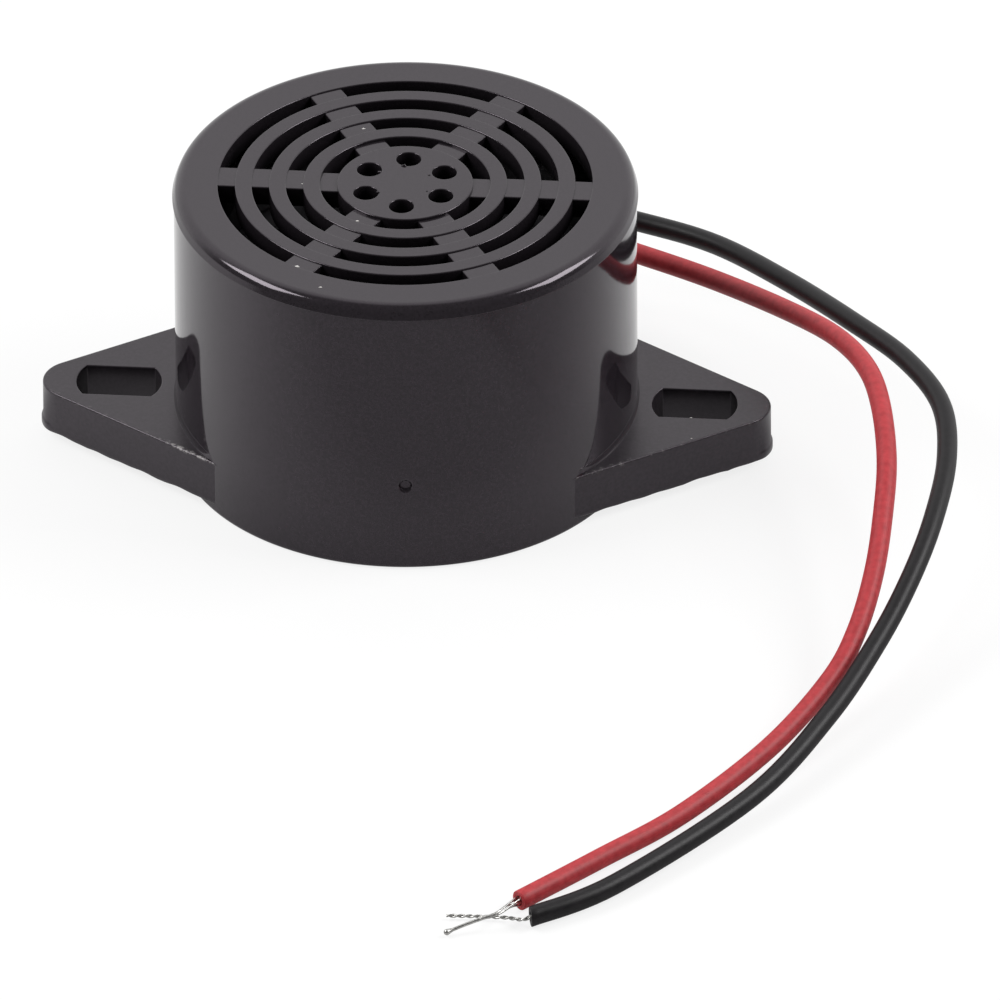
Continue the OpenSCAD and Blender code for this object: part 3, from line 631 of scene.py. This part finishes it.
def burrShell(s, hole, turn, reach, size, dark):  # a steep flake half sunk in the hub's top; dark paints the openings' shade on it
    holeTurn = (2 * hole + 1) * math.pi / s["spokes"]
    way = holeTurn + math.pi + math.radians(turn)
    x, y = (s["holeAt"] * f(holeTurn) + reach * f(way) for f in (math.cos, math.sin))
    return flakeShell(x, y, s["top"] - 0.02, size, tall=0.8, mark=dark)


pitch = coverSet["slot"] + coverSet["land"]
slotStarts = [coverSet["hub"] + i * pitch for i in range(coverSet["rings"])]
spokeTurns = [2 * math.pi * i / coverSet["spokes"] for i in range(coverSet["spokes"])]
coverShells = [rimShell(coverSet)] + hubShells(coverSet)
coverShells += [ringShell(r + coverSet["slot"], r + pitch, coverSet) for r in slotStarts[:-1]]
coverShells += [spokeShell(r, turn, coverSet) for r in slotStarts for turn in spokeTurns]
coverShells += [burrShell(coverSet, *burr) for burr in burrSet]
addPiece("grilleCover", coverShells, coverPlastic, ["grille_cover"])

# Dust: a few flakes of lint on the cover and ears, each a flattened egg: place, height and half length
dustSet = [(-2.93, 5.76, 18.12, 0.1), (-5.98, -0.46, 18.12, 0.08), (-2.47, -4.1, 18.03, 0.1),
           (-5.57, -9.4, 18.12, 0.16), (-3.99, -11.62, 18.2, 0.1), (-5.2, -9.75, 18.12, 0.06),
           (16.9, -1.53, 3.52, 0.07), (17.1, -3.76, 3.52, 0.06)]
addPiece("dustFlakes", [flakeShell(*spot) for spot in dustSet], paleDust)


# Inner pieces keep their CAD shape and take a finish each
innerLooks = {
    # paper and resin pressed into a board: brown, dull and faintly cloudy
    ("drive_board",): {"name": "phenolic-laminate", "dark": "#6b4a20", "light": "#8c6a36", "grainMm": 0.6,
                       "rough": (0.4, 0.6), "bump": 0.2},
    # moulded epoxy: black and matt
    ("transistor", "base_resistor"): {"name": "epoxy-moulded", "dark": "#18181a", "light": "#28282b",
                                      "grainMm": 0.1, "rough": (0.55, 0.75), "bump": 0.4},
    # glass drawn round the diode: rust-red and shiny
    ("flyback_diode",): {"name": "glass-sealed-diode", "dark": "#8a4a30", "light": "#b87350", "grainMm": 0.4,
                         "rough": (0.08, 0.2), "bump": 0.1},
    # solder that ran and set: bright, with dull patches
    ("solder_joints",): {"name": "tin-solder-reflowed", "dark": "#9a9b9e", "light": "#d4d5d8", "grainMm": 0.3,
                         "rough": (0.18, 0.4), "bump": 0.3, "metallic": 1.0},
    # turned soft iron: mid-grey metal with a satin face
    ("yoke_plate", "pole_core"): {"name": "soft-iron-turned", "dark": "#77797d", "light": "#a2a5aa",
                                  "grainMm": 0.25, "rough": (0.3, 0.5), "bump": 0.25, "metallic": 1.0},
    # moulded nylon: milky and soft
    ("coil_bobbin",): {"name": "nylon-moulded", "dark": "#ddd8c8", "light": "#ece8dc", "grainMm": 0.3,
                       "rough": (0.35, 0.5), "bump": 0.15},
    # enamelled copper wire, wound: warm metal with a fine broken gloss
    ("drive_coil", "feedback_coil"): {"name": "copper-enamelled-wound", "dark": "#8a4420", "light": "#c2743c",
                                      "grainMm": 0.14, "rough": (0.2, 0.4), "bump": 0.6, "metallic": 1.0},
    # sintered ferrite: dark grey and stony
    ("ring_magnet",): {"name": "ferrite-sintered", "dark": "#2d2d30", "light": "#444448", "grainMm": 0.15,
                       "rough": (0.6, 0.8), "bump": 0.4},
    # moulded ABS from a matt mould: black with little shine
    ("support_ring",): {"name": "abs-moulded-matt", "dark": "#1e1d1f", "light": "#29282a", "grainMm": 0.2,
                        "rough": (0.4, 0.6), "bump": 0.2},
    # rolled steel under a grey coat: dark and satin, seen through the slots; the dark tone is partly painted
    # shade under the slots
    ("diaphragm", "armature_disc"): {"name": "steel-rolled-grey", "dark": "#343336", "light": "#454447",
                                     "grainMm": 0.2, "rough": (0.35, 0.55), "bump": 0.2},
}
for nodes, look in innerLooks.items():
    finish = plainFinish(look)
    for node in nodes:
        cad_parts[node].data.materials.clear()
        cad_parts[node].data.materials.append(finish)
print("inner finishes set")


# Stage: a pale floor that keeps the shadow, a sky that is bright behind the part and dim on the camera's side
stageSet = {"floorSize": 6000, "floorTone": "#f2f2f2", "floorGlow": 0.82, "frontLevel": 0.5, "frontRun": 25,
            "frontWay": (-0.4, 1.0, 0.0), "contact": 6, "hollowLevel": 0.4, "skyBack": 1.12, "skyFront": 0.16,
            "skyRise": 0.5}
plainWhite = (1, 1, 1, 1)


def floorFinish(s):  # mirrored in the part, the floor's glow is painted dimmer towards the camera, with painted shade from occlusion in the part's own hollows
    material = bpy.data.materials.new("floor-pale")
    tree = emptyTree(material)
    light = addNode(tree, "LightPath").outputs
    mirrored = addNode(tree, "Math", None, {0: light["Is Glossy Ray"], 1: light["Is Transmission Ray"]},
                       operation="MAXIMUM")
    seen = addNode(tree, "Math", None, {0: light["Is Camera Ray"], 1: mirrored.outputs[0]},
                   operation="MAXIMUM")
    share = addNode(tree, "Math", {1: s["floorGlow"]}, {0: seen.outputs[0]}, operation="MULTIPLY")
    place = addNode(tree, "TexCoord").outputs["Object"]
    depth = addNode(tree, "VectorMath", {1: s["frontWay"]}, {0: place}, operation="DOT_PRODUCT")
    fall = addNode(tree, "MapRange", {"From Min": -s["frontRun"] * mm, "From Max": 0.0,
                                      "To Min": s["frontLevel"], "To Max": 1.0},
                   {"Value": depth.outputs["Value"]})
    hollow = addNode(tree, "AmbientOcclusion", {"Distance": s["contact"] * mm}, samples=4)
    shade = addNode(tree, "MapRange", {"To Min": s["hollowLevel"]}, {"Value": hollow.outputs["AO"]})
    dimmed = addNode(tree, "Math", None, {0: fall.outputs["Result"], 1: shade.outputs["Result"]},
                     operation="MULTIPLY")
    level = addNode(tree, "Mix", {3: 1.0}, {0: light["Is Camera Ray"], 2: dimmed.outputs[0]},
                    data_type="FLOAT")
    matt = addNode(tree, "BsdfDiffuse", {"Color": linear(s["floorTone"])})
    glow = addNode(tree, "Emission", {"Color": plainWhite}, {"Strength": level.outputs[0]})
    mixed = addNode(tree, "MixShader", None, {0: share.outputs[0], 1: matt.outputs[0], 2: glow.outputs[0]})
    addNode(tree, "OutputMaterial", None, {"Surface": mixed.outputs[0]})
    return material


half = stageSet["floorSize"] / 2 * mm
floorMesh = bpy.data.meshes.new("floor")
floorCorners = [(-half, -half, 0), (half, -half, 0), (half, half, 0), (-half, half, 0)]
floorMesh.from_pydata(floorCorners, [], [(0, 1, 2, 3)])
floorMesh.materials.append(floorFinish(stageSet))
floor = bpy.data.objects.new("floor", floorMesh)
scene.collection.objects.link(floor)

# Sky: white to the camera, and to the part a level that rises towards the back
world = bpy.data.worlds.new("sky")
scene.world = world
skyTree = emptyTree(world)
skyPlace = addNode(skyTree, "TexCoord").outputs["Generated"]
skyAxis = addNode(skyTree, "SeparateXYZ", None, {"Vector": skyPlace})
skyLevel = addNode(skyTree, "MapRange", {"From Min": 0.0, "From Max": stageSet["skyRise"],
                                         "To Min": stageSet["skyFront"], "To Max": stageSet["skyBack"]},
                   {"Value": skyAxis.outputs["Y"]}, interpolation_type="SMOOTHSTEP")
skyPath = addNode(skyTree, "LightPath")
sky = addNode(skyTree, "Background", {"Color": plainWhite}, {"Strength": skyLevel.outputs["Result"]})
white = addNode(skyTree, "Background", {"Color": plainWhite, "Strength": 1.0})
skyMix = addNode(skyTree, "MixShader", None,
                 {0: skyPath.outputs["Is Camera Ray"], 1: sky.outputs[0], 2: white.outputs[0]})
addNode(skyTree, "OutputWorld", None, {"Surface": skyMix.outputs[0]})

# Two soft boxes at the left and right of the camera's view: direction in the camera's right, away and up
lampSet = {"ways": {"leftBox": (-0.72, -0.04, 0.70), "rightBox": (0.75, 0.0, 0.65)},
           "width": 190, "height": 150, "radiance": 9.5, "distance": 360, "aimHeight": 10}


def addLamp(s, name, sideways, deep, up):  # flat lamp at a distance along its way, turned to face the part
    right, away = (Vector((math.cos(turn), math.sin(turn), 0)) for turn in (azimuth, azimuth + math.pi / 2))
    way = (right * sideways + away * deep + Vector((0, 0, up))).normalized()
    lamp = bpy.data.lights.new(name, "AREA")
    lamp.shape, lamp.size, lamp.size_y = "RECTANGLE", s["width"] * mm, s["height"] * mm
    lamp.energy = s["radiance"] * math.pi * lamp.size * lamp.size_y  # watts of a flat lamp of that radiance
    thing = bpy.data.objects.new(name, lamp)
    scene.collection.objects.link(thing)
    thing.location = Vector((0, 0, s["aimHeight"] * mm)) + way * s["distance"] * mm
    thing.rotation_mode = "QUATERNION"
    thing.rotation_quaternion = (-way).to_track_quat("-Z", "Y")


for lampName, lampWay in lampSet["ways"].items():
    addLamp(lampSet, lampName, *lampWay)
scene.view_settings.view_transform = "Standard"
print("stage and light set")
